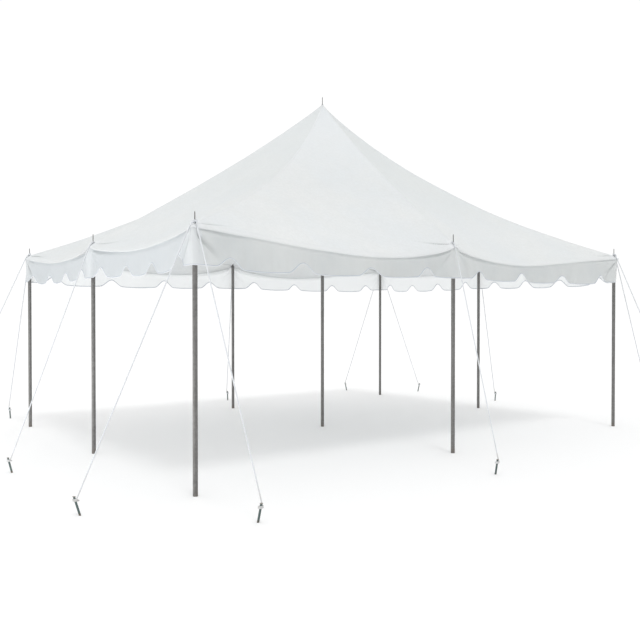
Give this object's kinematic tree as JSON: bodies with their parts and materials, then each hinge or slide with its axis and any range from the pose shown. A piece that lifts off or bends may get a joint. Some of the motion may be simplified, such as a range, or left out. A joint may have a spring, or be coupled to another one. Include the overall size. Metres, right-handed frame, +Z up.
{
  "type": "pole marquee tent",
  "caption": "Rectangular pole marquee with a peaked sheet roof and scalloped valance on steel poles, held by rope guys to ground stakes.",
  "frame": {"origin": "on the ground, under the peak, at the middle of the centre pole's foot", "axes": "+X along the long sides to the right, +Z up, and the front long side faces -Y"},
  "size_m": [8.1152, 6.5852, 4.295],
  "materials": {
    "canopy_sheet": "white coated polyester, slightly glossy, with a fine weave",
    "pole_steel": "galvanised steel tube, dull",
    "guy_rope": "white polyester rope of three twisted strands",
    "stake_steel": "dark green-grey, scuffed"
  },
  "bodies": {
    "root": {"centre_pole": "pole_steel", "guy_back_left_end": "guy_rope", "guy_back_left_face": "guy_rope", "guy_back_middle": "guy_rope", "guy_back_right_end": "guy_rope", "guy_back_right_face": "guy_rope", "guy_front_left_end": "guy_rope", "guy_front_left_face": "guy_rope", "guy_front_middle": "guy_rope", "guy_front_right_end": "guy_rope", "guy_front_right_face": "guy_rope", "guy_left_middle": "guy_rope", "guy_right_middle": "guy_rope", "roof_panel_back_left": "canopy_sheet", "roof_panel_back_right": "canopy_sheet", "roof_panel_front_left": "canopy_sheet", "roof_panel_front_right": "canopy_sheet", "roof_panel_left_back": "canopy_sheet", "roof_panel_left_front": "canopy_sheet", "roof_panel_right_back": "canopy_sheet", "roof_panel_right_front": "canopy_sheet", "side_pole_back_left": "pole_steel", "side_pole_back_middle": "pole_steel", "side_pole_back_right": "pole_steel", "side_pole_front_left": "pole_steel", "side_pole_front_middle": "pole_steel", "side_pole_front_right": "pole_steel", "side_pole_left_middle": "pole_steel", "side_pole_right_middle": "pole_steel", "stake_back_left_end": "stake_steel", "stake_back_left_face": "stake_steel", "stake_back_middle": "stake_steel", "stake_back_right_end": "stake_steel", "stake_back_right_face": "stake_steel", "stake_front_left_end": "stake_steel", "stake_front_left_face": "stake_steel", "stake_front_middle": "stake_steel", "stake_front_right_end": "stake_steel", "stake_front_right_face": "stake_steel", "stake_left_middle": "stake_steel", "stake_right_middle": "stake_steel", "valance_back": "canopy_sheet", "valance_front": "canopy_sheet", "valance_left": "canopy_sheet", "valance_right": "canopy_sheet"}
  },
  "joints": []
}
